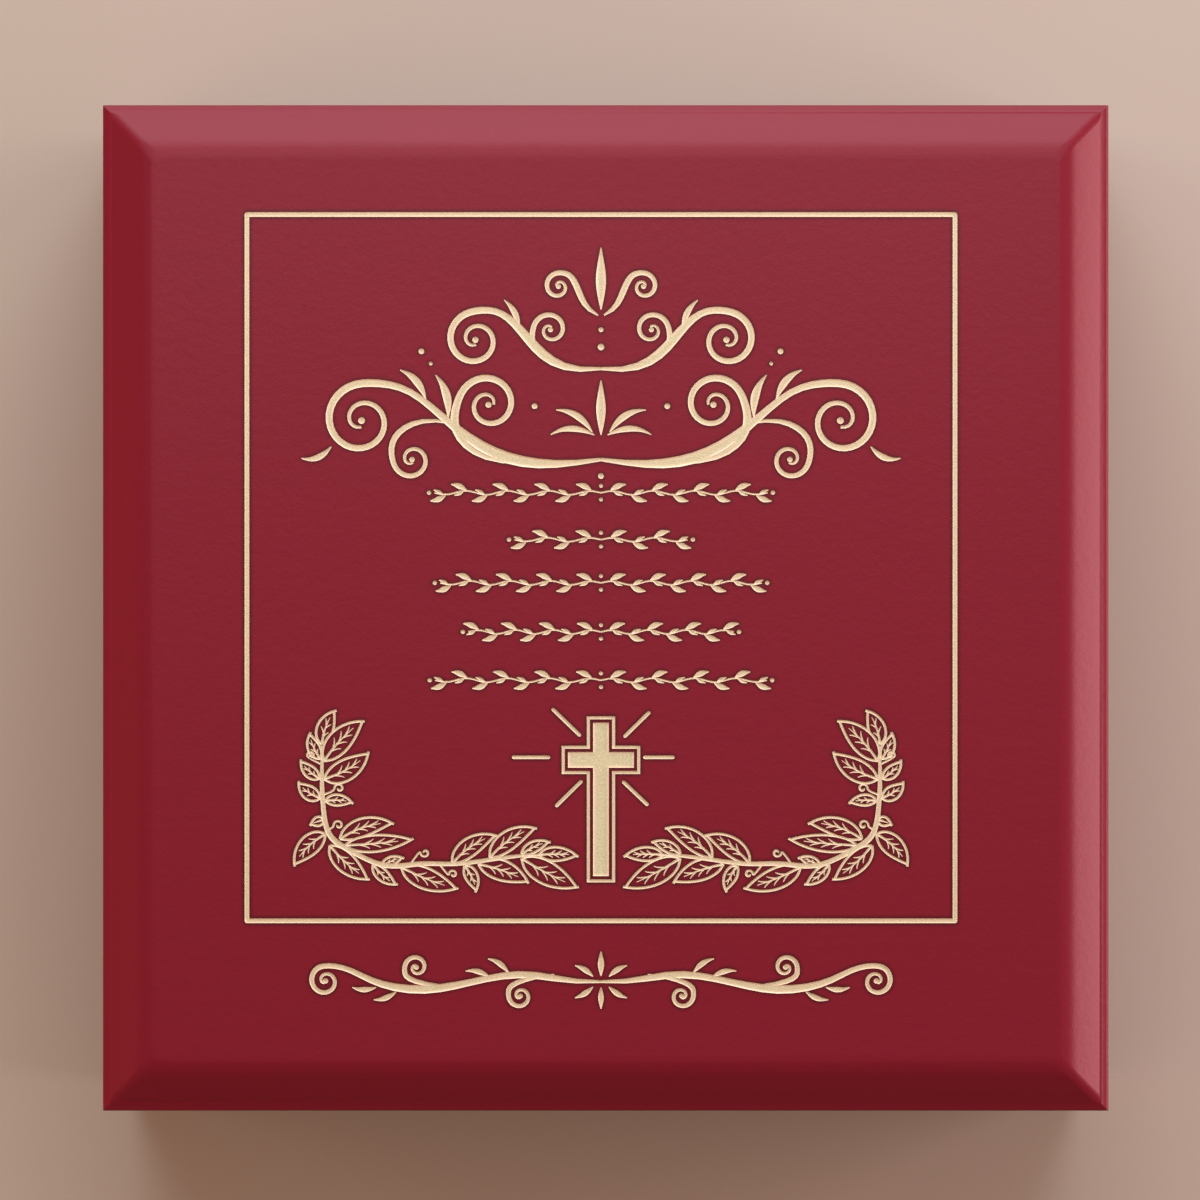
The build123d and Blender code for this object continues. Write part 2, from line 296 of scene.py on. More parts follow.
# %% The grain and speckle groups
fine_grain, given, result = new_group("fine_grain", {"Fineness": 400.0, "Stretch": 0.06}, ["Grain"])
place = fine_grain.nodes.new("ShaderNodeTexCoord").outputs["Object"]
scaled = fine_grain.nodes.new("ShaderNodeVectorMath")
scaled.operation = "MULTIPLY"
along = fine_grain.nodes.new("ShaderNodeCombineXYZ")
fine_grain.links.new(given["Stretch"], along.inputs["X"])
along.inputs["Y"].default_value = 1
along.inputs["Z"].default_value = 1
fine_grain.links.new(place, scaled.inputs[0])
fine_grain.links.new(along.outputs[0], scaled.inputs[1])
streaks = node(fine_grain, "ShaderNodeTexNoise", Detail=6.0, Roughness=0.6, Distortion=0.15)
fine_grain.links.new(scaled.outputs[0], streaks.inputs["Vector"])
fine_grain.links.new(given["Fineness"], streaks.inputs["Scale"])
fine_grain.links.new(streaks.outputs[0], result["Grain"])

speckle, given, result = new_group("speckle", {"Fineness": 4000.0, "Contrast": 1.0}, ["Speckle"])
place = speckle.nodes.new("ShaderNodeTexCoord").outputs["Object"]
spatter = node(speckle, "ShaderNodeTexNoise", Detail=3.0, Roughness=0.7)
speckle.links.new(place, spatter.inputs["Vector"])
speckle.links.new(given["Fineness"], spatter.inputs["Scale"])
centred = reckon(speckle, "SUBTRACT", spatter.outputs[0], 0.5)
spread = reckon(speckle, "MULTIPLY", centred, given["Contrast"])
speckle.links.new(reckon(speckle, "ADD", spread, 0.5, clamp=True), result["Speckle"])
print("groups", fine_grain.name, speckle.name)

# %% [markdown]
# ## Red lacquer
#
# The box is painted a deep red and finished with satin lacquer. Up close the colour is a
# little uneven, the grain of the wood just shows, and the surface has the faint ripple that
# sprayed lacquer dries to. Round each cut a thin dark line is painted into the colour: partly
# the scorch that the engraver leaves, partly painted shade at the edge of the cut. That line
# is only wanted on the flat of the lid, so it is held there by height and by its distance
# from the middle. The walls and rails get a copy of the finish, in which a Bevel node rounds
# the edges as sanding does.

# %% Red lacquer
def new_material(name):
    """A material, its node tree and its shader."""
    made = bpy.data.materials.new(name)
    made.use_nodes = True
    return made, made.node_tree, made.node_tree.nodes["Principled BSDF"]


def bump(tree, height, distance, strength=1.0):
    """A normal tilted by a height map, whose full height is distance."""
    made = node(tree, "ShaderNodeBump", Strength=strength, Distance=distance)
    tree.links.new(height, made.inputs["Height"])
    return made.outputs["Normal"]


lacquer_red = (0.173, 0.0060, 0.0175, 1)
lacquer_deep = (0.148, 0.0044, 0.0138, 1)
# Scorch and painted shade: the dark line painted round each cut on the flat.
scorch_and_shade = (0.018, 0.0025, 0.002, 1)
scorch_and_shade_width = 0.95 * mm
engraved_reach = 60 * mm

lacquer, tree, shader = new_material("satin_red_lacquer")
grain = place_group(tree, fine_grain, Fineness=900.0, Stretch=0.05)["Grain"]
mottle = place_group(tree, speckle, Fineness=5200.0, Contrast=1.6)["Speckle"]
uneven = reckon(tree, "MULTIPLY", reckon(tree, "ADD", grain, mottle), 0.5)
red = blend_colours(tree, uneven, lacquer_deep, lacquer_red)
at = tree.nodes.new("ShaderNodeSeparateXYZ")
tree.links.new(tree.nodes.new("ShaderNodeTexCoord").outputs["Object"], at.inputs[0])
on_top = reckon(tree, "GREATER_THAN", at.outputs["Z"], lid_high.z - 0.05 * mm)
for direction in ("X", "Y"):
    away = reckon(tree, "ABSOLUTE", at.outputs[direction], 0)
    on_top = reckon(tree, "MULTIPLY", on_top, reckon(tree, "LESS_THAN", away, engraved_reach))
# The dark line round each cut: partly scorch, partly painted shade at the cut's edge.
near_a_cut = place_group(tree, edge_band, Width=scorch_and_shade_width, Gain=60.0)["Band"]
scorch_and_shade_mask = reckon(tree, "MULTIPLY", near_a_cut, on_top)
tree.links.new(blend_colours(tree, scorch_and_shade_mask, red, scorch_and_shade), shader.inputs["Base Color"])
set_up(shader, Roughness=0.40, Specular_IOR_Level=0.37, Specular_Tint=(1.0, 0.62, 0.67, 1))
ripple = place_group(tree, speckle, Fineness=700.0, Contrast=1.0)["Speckle"]
tree.links.new(bump(tree, ripple, 0.035 * mm), shader.inputs["Normal"])

wall_lacquer = lacquer.copy()
wall_lacquer.name = "satin_red_lacquer_on_walls"
tree = wall_lacquer.node_tree
sanded = node(tree, "ShaderNodeBevel", Radius=0.4 * mm)
sanded.samples = 6
tree.links.new(sanded.outputs[0], tree.nodes["Bump"].inputs["Normal"])
print("finishes", lacquer.name, wall_lacquer.name)

# %% [markdown]
# ## Gilding
#
# The cuts are filled with gold paint, a grainy mix of darker and lighter gold that shows with
# a little sparkle on a wide floor such as the cross. Along the rims of a cut a paler gold is
# painted in as a highlight.

# %% Gilding
# A paler gold painted along the rims of each cut, as a highlight.
gilt_highlight = (0.87, 0.71, 0.53, 1)
gilt_light = (0.67, 0.63, 0.41, 1)
gilt_dark = (0.48, 0.44, 0.245, 1)

gilding, tree, shader = new_material("gold_paint")
grit = place_group(tree, speckle, Fineness=3600.0, Contrast=2.2)["Speckle"]
paint = blend_colours(tree, grit, gilt_dark, gilt_light)
# Painted highlight: the paler gold along the rims of each cut.
rim_highlight = place_group(tree, edge_band, Width=0.6 * mm, Gain=18.0)["Band"]
tree.links.new(blend_colours(tree, rim_highlight, paint, gilt_highlight), shader.inputs["Base Color"])
set_up(shader, Metallic=0.15, Roughness=0.5)
tree.links.new(bump(tree, grit, 0.02 * mm), shader.inputs["Normal"])
print("finish", gilding.name)

# %% [markdown]
# ## The lid panel
#
# The panel is one board with a flat middle, a shoulder that falls away all round and meets
# in a mitre at each corner, a small step and a narrow lip with a rounded edge. The shoulder
# falls gently over its first third and then nearly straight. It is cut on a shaper, one edge
# at a time, and that is how it is modelled: a square plate whose top face is extruded and
# drawn in, step by step, along the profile. Each step keeps four straight sides, so the
# mitres come by themselves.

# %% The panel's profile
half_width = lid_high.x
panel_bottom = lid_low.z
panel_top = lid_high.z
shoulder_width = 7.2 * mm
shoulder_drop = 2.9 * mm
shoulder_steps = 14
gentle_width = 2.4 * mm
first_slope = 0.35
shoulder_steepens = 0.4
lip_width = 1.2 * mm
lip_fall = 0.22 * mm
lip_round = 0.4 * mm
lip_steps = 5
step_drop = 0.3 * mm
step_ease = 0.2 * mm
lip_level = panel_top - shoulder_drop - step_drop


def arc(start, end, bulge, steps):
    """Points after start along an arc to end, that bulges to the left of its way."""
    (x0, y0), (x1, y1) = start, end
    chord = hypot(x1 - x0, y1 - y0)
    radius = (chord * chord / 4 + bulge * bulge) / (2 * bulge)
    across = ((y0 - y1) / chord, (x1 - x0) / chord)
    inset = bulge - radius
    middle = ((x0 + x1) / 2 + across[0] * inset, (y0 + y1) / 2 + across[1] * inset)
    points = []
    for i in range(1, steps + 1):
        t = 2 * i / steps - 1
        away = copysign((radius * radius - (t * chord / 2) ** 2) ** 0.5, radius)
        along_x = (x1 - x0) / 2 * t + middle[0] + across[0] * away
        along_y = (y1 - y0) / 2 * t + middle[1] + across[1] * away
        points.append((along_x, along_y))
    return points


def shoulder_fall(out):
    """How far the shoulder falls by so far out: gently at first, then nearly straight."""
    near_flat = min(out, gentle_width)
    beyond = out - near_flat
    gentle = first_slope * near_flat + (1 - first_slope) * near_flat ** 3 / (3 * gentle_width ** 2)
    return gentle + beyond + shoulder_steepens * beyond * beyond / (2 * shoulder_width)


side_top = (half_width, lip_level - lip_fall - lip_round)
lip_edge = (half_width - lip_round, lip_level - lip_fall)
lip_end = (half_width - lip_width + step_ease, lip_level)
round_bulge = 0.2 * lip_round
step_top = (half_width - lip_width - step_ease, panel_top - shoulder_drop)
flat_edge = (half_width - shoulder_width, panel_top)
profile = [side_top]
profile += arc(side_top, lip_edge, -round_bulge, lip_steps)
profile += [lip_end, step_top]
shoulder_reach = step_top[0] - flat_edge[0]
for i in range(1, shoulder_steps + 1):
    out = shoulder_reach * (1 - i / shoulder_steps)
    fallen = shoulder_drop * shoulder_fall(out) / shoulder_fall(shoulder_reach)
    profile += [(flat_edge[0] + out, panel_top - fallen)]
print("profile of", len(profile), "steps, flat to", round(flat_edge[0] / mm, 2), "mm")

# %% The panel's blank
flat_margin = 1 * mm
flat_cuts = 47

bpy.ops.object.select_all(action="DESELECT")
bpy.ops.mesh.primitive_plane_add(size=2 * half_width, location=(0, 0, panel_bottom))
panel = newest("engraved_lid")
settle(panel)
bpy.ops.object.mode_set(mode="EDIT")
bpy.ops.mesh.select_all(action="SELECT")
reach, level = half_width, panel_bottom
for next_reach, next_level in profile:
    bpy.ops.mesh.extrude_region_move(TRANSFORM_OT_translate={"value": (0, 0, next_level - level)})
    bpy.ops.transform.resize(value=(next_reach / reach, next_reach / reach, 1))
    reach, level = next_reach, next_level
bpy.ops.mesh.inset(thickness=flat_margin)
bpy.ops.mesh.subdivide(number_cuts=flat_cuts)
bpy.ops.object.mode_set(mode="OBJECT")
print("blank", [round(c / mm, 2) for c in panel.dimensions], "mm")

# %% Soften the blank's outside corners
corner_radius = 0.5 * mm
near = 0.01 * mm


def is_upright_corner(edge):
    a, b = (v.co for v in edge.verts)
    return hypot(a.x - b.x, a.y - b.y) < near and abs(a.x) > half_width - near


only(panel)
bpy.ops.object.mode_set(mode="EDIT")
pick(panel, "edges", is_upright_corner)
bpy.ops.mesh.bevel(offset=corner_radius, segments=4, profile=0.5)
face_outward()
bpy.ops.object.mode_set(mode="OBJECT")
print("corners rounded,", len(panel.data.polygons), "faces")

# %% [markdown]
# ## The engraver's strokes
#
# An engraving is a set of strokes. The cutter follows a line and goes deeper where the line
# is to be wider. So a stroke here is a list of points, each with half the stroke's width, in
# millimetres from the middle of the design. A curve object with that radius at each point
# makes the cut's shape.
#
# The design is traditional ornament: scrolls at the head, rows of running vine, a cross with
# rays between two sprays of leaves, and a slim rule at the foot. All but the rays is the same
# to the left and the right of its middle line, so only the right half is drawn.

# %% Strokes
def petal(start, heading, length, turn, width):
    """A leaf-shaped stroke that leaves start at a heading. turn is in degrees a millimetre."""
    x, y = start
    angle = radians(heading)
    swell = (0.1, 0.55, 0.9, 1.0, 0.8, 0.45, 0.1)
    points = []
    for i, share in enumerate(swell):
        points.append((x, y, max(width * share, 0.08)))
        angle += radians(turn * (0.7 + i / len(swell)) * length / (len(swell) - 1))
        x += cos(angle) * length / (len(swell) - 1)
        y += sin(angle) * length / (len(swell) - 1)
    return points


def dot(x, y, radius):
    """A round dot: a short stroke as wide as it is long."""
    steps = 8
    turns = [pi * i / steps for i in range(steps + 1)]
    return [(x - radius * cos(a), y, max(radius * sin(a), 0.02)) for a in turns]


def volute(eye, radius, start, turns, hand, widths):
    """The rolled end of a scroll, from its outside in. hand is 1 anticlockwise, -1 clockwise."""
    inner = 0.16
    steps = int(turns * 10)
    points = []
    for i in range(steps + 1):
        t = i / steps
        away = radius * 1.05 * (inner + (1 - inner) * (1 - t) ** 0.9)
        a = radians(start + hand * 360 * turns * t)
        half = widths[0] + (widths[1] - widths[0]) * t
        points.append((eye[0] + away * cos(a), eye[1] + away * sin(a), half))
    return points


def scroll(route, eye, radius, start, turns, hand, widths):
    """A scroll that follows its route and rolls up, with a dot in its eye."""
    return [route + volute(eye, radius, start, turns, hand, widths), dot(*eye, widths[1] * 2.4)]


def both_sides(strokes):
    """The strokes and their mirror images."""
    return strokes + [[(-x, y, half) for x, y, half in stroke] for stroke in strokes]


print("stroke helpers ready")

# %% The scrolls at the head of the lid
head = []
head += scroll(
    [
        (0, 20.6, 0.25), (4, 20.0, 0.38), (9.5, 19.7, 0.8),
        (16.0, 21.6, 0.85), (21.5, 26.0, 0.5), (26.5, 30.6, 0.42),
    ],
    (33.2, 26.0), 5.4, 110, 1.55, -1, (0.56, 0.2),
)
head += scroll(
    [(10.5, 20.0, 0.12), (14.5, 20.2, 0.3), (18.6, 21.8, 0.5), (20.6, 25.2, 0.62)],
    (15.6, 28.2), 4.3, 0, 1.5, 1, (0.52, 0.18),
)
head += scroll(
    [(20.5, 25.6, 0.12), (23.5, 26.3, 0.26), (27.0, 25.6, 0.42), (29.2, 23.2, 0.42)],
    (26.2, 20.6), 2.7, 0, 1.3, -1, (0.38, 0.16),
)
head += scroll(
    [(0, 33.2, 0.22), (3.6, 32.8, 0.38), (7.6, 34.2, 0.75), (10.6, 38.0, 0.66), (13.6, 41.2, 0.42)],
    (17.4, 37.2), 4.1, 100, 1.55, -1, (0.5, 0.18),
)
head += scroll(
    [(4.0, 33.3, 0.12), (7.0, 33.6, 0.26), (9.6, 36.0, 0.42)],
    (7.0, 38.6), 2.5, -10, 1.35, 1, (0.38, 0.15),
)
head += scroll(
    [(0.4, 40.6, 0.12), (2.0, 41.4, 0.36), (3.0, 43.6, 0.46), (3.9, 46.0, 0.42)],
    (5.9, 44.6), 2.0, 110, 1.25, -1, (0.36, 0.15),
)
head += [
    petal((21.2, 26.4), 98, 6.4, -7, 0.62),
    petal((24.3, 29.0), 76, 5.6, -9, 0.55),
    petal((37.4, 22.4), -58, 4.8, 14, 0.45),
    petal((11.3, 38.8), 84, 4.6, -9, 0.45),
    petal((1.2, 24.4), 62, 6.2, -9, 0.5),
    petal((0.9, 24.0), 32, 6.4, -9, 0.45),
    dot(9.2, 28.0, 0.4),
    dot(24.9, 35.6, 0.4),
    dot(23.6, 33.9, 0.26),
]
head = both_sides(head)
head += [petal((0, 41.4), 90, 8.6, 0, 0.75), petal((0, 24.0), 90, 7.6, 0, 0.7)]
head += [dot(0, 36.2, 0.46), dot(0, 38.6, 0.34), dot(0, 18.3, 0.4)]
print("head:", len(head), "strokes")

# %% Rows of vine, and the slim rule at the foot
def vine(level, half_length):
    """A row of fine running vine: a wavy stem with a leaf and a tendril at each bend."""
    bends = int(half_length // 2.6)
    step = half_length / bends
    stem = [(i * step / 2, level + 0.42 * sin(pi * i / 2), 0.12) for i in range(2 * bends + 1)]
    strokes = [stem, dot(half_length + 0.75, level, 0.3)]
    for i in range(bends):
        x = (i + 0.5) * step
        side = 1 if i % 2 == 0 else -1
        strokes.append(petal((x - 0.1, level + side * 0.36), side * 38, 2.3, -side * 14, 0.42))
        strokes.append(petal((x + 0.25, level + side * 0.3), -side * 42, 1.5, side * 18, 0.26))
    return both_sides(strokes) + [dot(0, level + 0.95, 0.28), dot(0, level - 0.95, 0.28)]


# Each row's height in the design, and half its length.
vine_rows = {16.0: 23.1, 9.5: 12.0, 3.5: 22.3, -3.3: 18.4, -10.0: 23.0}
vines = [stroke for level, half_length in vine_rows.items() for stroke in vine(level, half_length)]

foot = -51.8
rule = scroll(
    [
        (0, foot, 0.2), (4, foot - 0.2, 0.36), (10, foot + 1.6, 0.62), (17, foot + 0.2, 0.36),
        (24, foot - 1.5, 0.7), (31, foot - 0.6, 0.45), (35, foot + 2.0, 0.36),
    ],
    (38.2, foot + 0.1), 2.2, 80, 1.4, -1, (0.38, 0.16),
)
rule += scroll(
    [(6.5, foot + 1.0, 0.12), (9.5, foot + 0.6, 0.27), (12.6, foot - 0.3, 0.4)],
    (11.2, foot - 2), 1.7, 20, 1.3, -1, (0.34, 0.15),
)
rule += scroll(
    [(19.5, foot - 0.7, 0.12), (23, foot - 0.7, 0.27), (27, foot + 0.2, 0.4)],
    (25.6, foot + 2), 1.7, -20, 1.3, 1, (0.34, 0.15),
)
rule += [
    petal((12.8, foot + 1.2), 58, 3.6, -12, 0.4),
    petal((15.4, foot + 0.6), 38, 3.6, -12, 0.4),
    petal((28.4, foot - 1.4), -42, 3.4, 12, 0.4),
    petal((31.2, foot - 0.8), -22, 3.4, 12, 0.4),
    petal((1.1, foot + 0.7), 48, 3.0, -10, 0.4),
    petal((1.1, foot - 0.7), -48, 3.0, 10, 0.4),
]
rule = both_sides(rule)
rule += [petal((0, foot + 0.8), 90, 3.4, 0, 0.46), petal((0, foot - 0.8), -90, 3.0, 0, 0.42)]
print(len(vines), "strokes of vine,", len(rule), "in the rule")

# %% [markdown]
# ## The leaf sprays
#
# Two sprays of leaves stand at the foot of the cross, one the mirror image of the other. Each
# leaf is drawn as an engraver draws it: an edge stroke for each side, one of which flicks
# past the tip, then a midrib and a few side veins. The leaves are listed from the back to the
# front, and what a leaf in front covers is left uncut.

# %% Leaf strokes
leaf_edge = 0.18


def leaf_axis(leaf, t):
    """The place and direction at t, from 0 to 1, along a leaf's bent midrib."""
    (base_x, base_y), (tip_x, tip_y), _, bend = leaf
    mid_x = (base_x + tip_x) / 2 - (tip_y - base_y) * bend
    mid_y = (base_y + tip_y) / 2 + (tip_x - base_x) * bend
    u = 1 - t
    x = u * u * base_x + 2 * u * t * mid_x + t * t * tip_x
    y = u * u * base_y + 2 * u * t * mid_y + t * t * tip_y
    along_x = u * (mid_x - base_x) + t * (tip_x - mid_x)
    along_y = u * (mid_y - base_y) + t * (tip_y - mid_y)
    size = hypot(along_x, along_y)
    return x, y, along_x / size, along_y / size


def leaf_point(leaf, side, share, t):
    """The point at t along a leaf, a share of the way out to one of its edges."""
    full, point = 0.72, 0.95
    widest = full / (full + point)
    most = widest**full * (1 - widest) ** point
    x, y, along_x, along_y = leaf_axis(leaf, t)
    breadth = leaf[2]
    out = side * share * breadth * t**full * (1 - t) ** point / most
    return x - along_y * out, y + along_x * out


def leaf_side(leaf, side):
    """Points along one edge of a leaf, from its base to its tip."""
    steps = 14
    return [leaf_point(leaf, side, 1.0, i / steps) for i in range(steps + 1)]


def leaf_strokes(leaf):
    """The two edges, the midrib and the side veins of a leaf."""
    base, tip, _, bend = leaf
    length = hypot(tip[0] - base[0], tip[1] - base[1])
    strokes = []
    for side in (1, -1):
        edge = leaf_side(leaf, side)
        if side == (1 if bend >= 0 else -1):
            (x0, y0), (x1, y1) = edge[-2:]
            flick = 0.35 / hypot(x1 - x0, y1 - y0)
            edge.append((x1 + (x1 - x0) * flick, y1 + (y1 - y0) * flick))
        strokes.append([(x, y, leaf_edge) for x, y in edge])
    rib = [leaf_axis(leaf, 0.8 * i / 6)[:2] for i in range(7)]
    strokes.append([(x, y, 0.20 - 0.14 * i / 6) for i, (x, y) in enumerate(rib)])
    pairs = 0 if length < 2.6 else 2 if length < 5 else 3
    for side in (1, -1):
        for k in range(pairs):
            root = 0.2 + 0.5 * (k + (0.4 if side < 0 else 0)) / pairs
            start = leaf_axis(leaf, root)
            middle = leaf_point(leaf, side, 0.22, root + 0.12)
            end = leaf_point(leaf, side, 0.58, root + 0.17)
            strokes.append([(*start[:2], 0.09), (*middle, 0.14), (*end, 0.05)])
    return strokes


def covered(x, y, outline):
    """Whether a point is inside a closed outline."""
    inside = False
    for (x0, y0), (x1, y1) in zip(outline, outline[1:] + outline[:1]):
        if (y0 > y) != (y1 > y) and x < (x1 - x0) * (y - y0) / (y1 - y0) + x0:
            inside = not inside
    return inside


def uncovered(stroke, outlines):
    """The stretches of a stroke that no leaf in front covers."""
    stretches = [[]]
    for x, y, half in stroke:
        if any(covered(x, y, outline) for outline in outlines):
            stretches.append([])
        else:
            stretches[-1].append((x, y, half))
    return [stretch for stretch in stretches if len(stretch) > 1]


print("leaf helpers ready")

# %% The spray's leaves and stem
# Each leaf is given by its base, its tip, half its breadth, and how far its midrib bends.
spray_leaves = [
    ((38.9, -20.9), (40.4, -17.5), 0.85, -0.12),
    ((38.7, -18.9), (37.0, -14.3), 1.15, -0.14),
    ((38.4, -21.2), (33.1, -15.7), 1.55, -0.10),
    ((38.4, -23.7), (32.3, -20.2), 1.45, 0.12),
    ((39.0, -23.6), (41.6, -21.3), 0.8, -0.12),
    ((38.9, -26.3), (41.9, -24.3), 0.95, -0.16),
    ((38.2, -26.7), (34.6, -26.9), 0.75, -0.10),
    ((38.4, -29.3), (40.2, -29.9), 0.62, 0.0),
    ((38.2, -31.3), (42.5, -35.5), 1.35, 0.14),
    ((37.6, -32.9), (32.4, -37.6), 1.35, 0.08),
    ((36.2, -32.0), (29.0, -29.8), 1.25, -0.16),
    ((35.5, -32.9), (26.3, -32.1), 1.15, 0.02),
    ((30.4, -35.8), (27.6, -34.6), 0.6, -0.1),
    ((31.6, -35.5), (28.5, -38.3), 0.8, 0.12),
    ((27.7, -35.9), (20.1, -38.9), 1.45, 0.06),
    ((20.6, -35.4), (14.7, -31.5), 1.25, -0.16),
    ((15.4, -34.6), (9.2, -30.5), 1.3, -0.16),
    ((18.9, -35.7), (17.3, -39.1), 0.85, -0.12),
    ((17.0, -35.5), (10.2, -37.9), 1.4, -0.08),
    ((11.0, -34.7), (3.4, -38.7), 1.6, 0.04),
    ((11.0, -34.1), (7.3, -32.4), 0.75, -0.10),
    ((8.6, -34.2), (3.4, -34.3), 0.95, -0.06),
]
spray_stem = [
    (38.6, -19.0, 0.16), (38.8, -23.5, 0.30), (38.55, -27.6, 0.34), (38.2, -30.5, 0.36),
    (37.2, -32.3, 0.42), (35.0, -33.5, 0.36), (32.5, -34.9, 0.34), (30.0, -35.8, 0.36),
    (27.6, -35.8, 0.38), (24.5, -35.3, 0.34), (20.8, -35.6, 0.32), (17.4, -35.2, 0.30),
    (13.4, -34.6, 0.28), (10.2, -34.2, 0.24), (8.0, -34.2, 0.12),
]
# Each tendril is given by its start, its eye, its radius and its hand.
tendrils = [
    ((38.5, -25.9), (36.3, -25.0), 0.75, 1),
    ((38.3, -30.9), (36.4, -30.1), 0.75, 1),
    ((26.3, -35.3), (24.4, -33.9), 0.7, -1),
    ((22.4, -35.5), (20.5, -36.9), 0.65, 1),
    ((38.9, -21.6), (40.2, -20.4), 0.6, 1),
]

outlines = [leaf_side(leaf, 1) + leaf_side(leaf, -1)[::-1] for leaf in spray_leaves]
spray = [spray_stem]
for i, leaf in enumerate(spray_leaves):
    for stroke in leaf_strokes(leaf):
        spray += uncovered(stroke, outlines[i + 1 :])
for start, eye, radius, hand in tendrils:
    spray.append([(*start, 0.14)] + volute(eye, radius, -30 * hand, 1.1, hand, (0.15, 0.18)))
spray = both_sides(spray)

cross_y = -21.05
ray_half = 0.25
# The two ends of each ray, from the cross's middle.
rays = [
    ((5.85, 0.35), (10.2, 0.35)),
    ((3.18, 3.14), (6.8, 6.69)),
    ((-2.83, 3.3), (-6.8, 7.13)),
    ((-7.05, 0.35), (-12.35, 0.35)),
    ((-2.62, -2.86), (-6.3, -6.5)),
    ((2.97, -2.93), (6.55, -6.33)),
]


def blunt(start, end, half):
    """A straight stroke with rounded ends."""
    (x0, y0), (x1, y1) = start, end
    length = hypot(x1 - x0, y1 - y0)
    across, up = (x1 - x0) / length, (y1 - y0) / length
    stops = [(0, 0.3), (0.08, 0.75), (0.2, 1)]
    stops += [(length - at, share) for at, share in reversed(stops)]
    return [(x0 + across * at, y0 + up * at, half * share) for at, share in stops]


ray_strokes = []
for (x0, y0), (x1, y1) in rays:
    ray_strokes.append(blunt((x0, cross_y + y0), (x1, cross_y + y1), ray_half))
print("spray:", len(spray), "strokes, and", len(ray_strokes), "rays")

# %% [markdown]
# ## Cutting the engraving
#
# Where strokes cross, one cutter shape would run into itself, and a boolean wants each
# operand to be a clean solid. So the strokes are sorted into passes in which none touches
# another, and the passes are cut one after the other, like an engraver's own passes. The
# Manifold solver is fast enough for some hundred strokes.
#
# The cut is made at a thousand times the size, because a boolean joins points that are very
# close together, and a vein is only a tenth of a millimetre wide. The panel is then brought
# back to its real size, its mitres are sanded a little round, and the cuts are gilded.

# %% Sorting strokes into passes
engraving_depth = 0.2
design_x = -0.65
clearance = 0.1
spacing = 0.3


def box_of(stroke):
    """The stroke's place in the plan, with its width and a little room."""
    room = max(half for x, y, half in stroke) + clearance
    xs, ys = [x for x, y, half in stroke], [y for x, y, half in stroke]
    return min(xs) - room, min(ys) - room, max(xs) + room, max(ys) + room


def apart(one, other):
    """Whether two strokes keep clear of each other. Each is (box, points)."""
    (left0, front0, right0, back0), points0 = one
    (left1, front1, right1, back1), points1 = other
    if left0 > right1 or left1 > right0 or front0 > back1 or front1 > back0:
        return True
    for x0, y0, half0 in points0:
        for x1, y1, half1 in points1:
            if (x0 - x1) ** 2 + (y0 - y1) ** 2 < (half0 + half1 + clearance) ** 2:
                return False
    return True


def closely(stroke):
    """The stroke with points added, so that none is further than spacing from the next."""
    points = []
    for (x0, y0, half0), (x1, y1, half1) in zip(stroke, stroke[1:]):
        parts = max(1, ceil(hypot(x1 - x0, y1 - y0) / spacing))
        for i in range(parts):
            t = i / parts
            points.append((x0 + (x1 - x0) * t, y0 + (y1 - y0) * t, half0 + (half1 - half0) * t))
    return points + [stroke[-1]]


passes = []
for stroke in sorted(head + vines + rule + spray + ray_strokes, key=len, reverse=True):
    shape = (box_of(stroke), closely(stroke))
    for layer in passes:
        if all(apart(shape, other) for other, _ in layer):
            layer.append((shape, stroke))
            break
    else:
        passes.append([(shape, stroke)])
print("passes:", [len(layer) for layer in passes])

# %% A cutter for one pass
top_in_mm = panel_top / mm
start_height = 0.3
lift = 0.02
merge_within = 0.0005


def shape_cutter(cutter):
    """Presses a cutter's underside flat at the full depth and lifts its top clear of the lid."""
    for point in cutter.data.vertices:
        below = top_in_mm - point.co.z
        # The tube's upper part, then the line at half its height, then its underside.
        if below < -0.03:
            point.co.z = top_in_mm + start_height
        elif below < 0.01:
            point.co.z = top_in_mm + lift
        else:
            point.co.z = max(point.co.z, top_in_mm - engraving_depth)


def make_cutter(name, strokes):
    """A mesh of tubes, one along each stroke and as wide as it is, in millimetres."""
    bpy.ops.object.select_all(action="DESELECT")
    bpy.ops.curve.primitive_nurbs_path_add()
    cutter = newest(name)
    curve = cutter.data
    curve.splines.clear()
    for stroke in strokes:
        level = len({round(y, 6) for _, y, _ in stroke}) == 1
        straight = level or len(stroke) < 3 or stroke in ray_strokes
        line = curve.splines.new("POLY" if straight else "NURBS")
        line.points.add(len(stroke) - 1)
        for point, (x, y, half) in zip(line.points, stroke):
            point.co = (x + design_x, y, top_in_mm, 1)
            point.radius = half
        if not straight:
            line.order_u = 4
            line.use_endpoint_u = True
            line.resolution_u = 3
    curve.bevel_depth = 1.0
    curve.bevel_resolution = 2
    curve.use_fill_caps = True
    curve.twist_mode = "Z_UP"
    bpy.ops.object.convert(target="MESH")
    cutter = newest(name)
    bpy.ops.object.mode_set(mode="EDIT")
    bpy.ops.mesh.select_all(action="SELECT")
    bpy.ops.mesh.remove_doubles(threshold=merge_within)
    bpy.ops.object.mode_set(mode="OBJECT")
    shape_cutter(cutter)
    return cutter


def cut(piece, cutter):
    """Takes the cutter's shape out of the piece and removes the cutter."""
    modify(piece, "BOOLEAN", operation="DIFFERENCE", solver="MANIFOLD", object=cutter)
    bpy.data.objects.remove(cutter)


print("cutter ready")

# %% The border and the cross, as cutters
border_y = 5.6
border_width = 98.85
border_height = 98.6
border_line = 0.66
border_round = 0.35
cross_above = 6.05
cross_below = 17.0
cross_span = 10.9
cross_bar = 3.94
cross_line = 0.44
cross_gap = 0.43
draft = 0.07


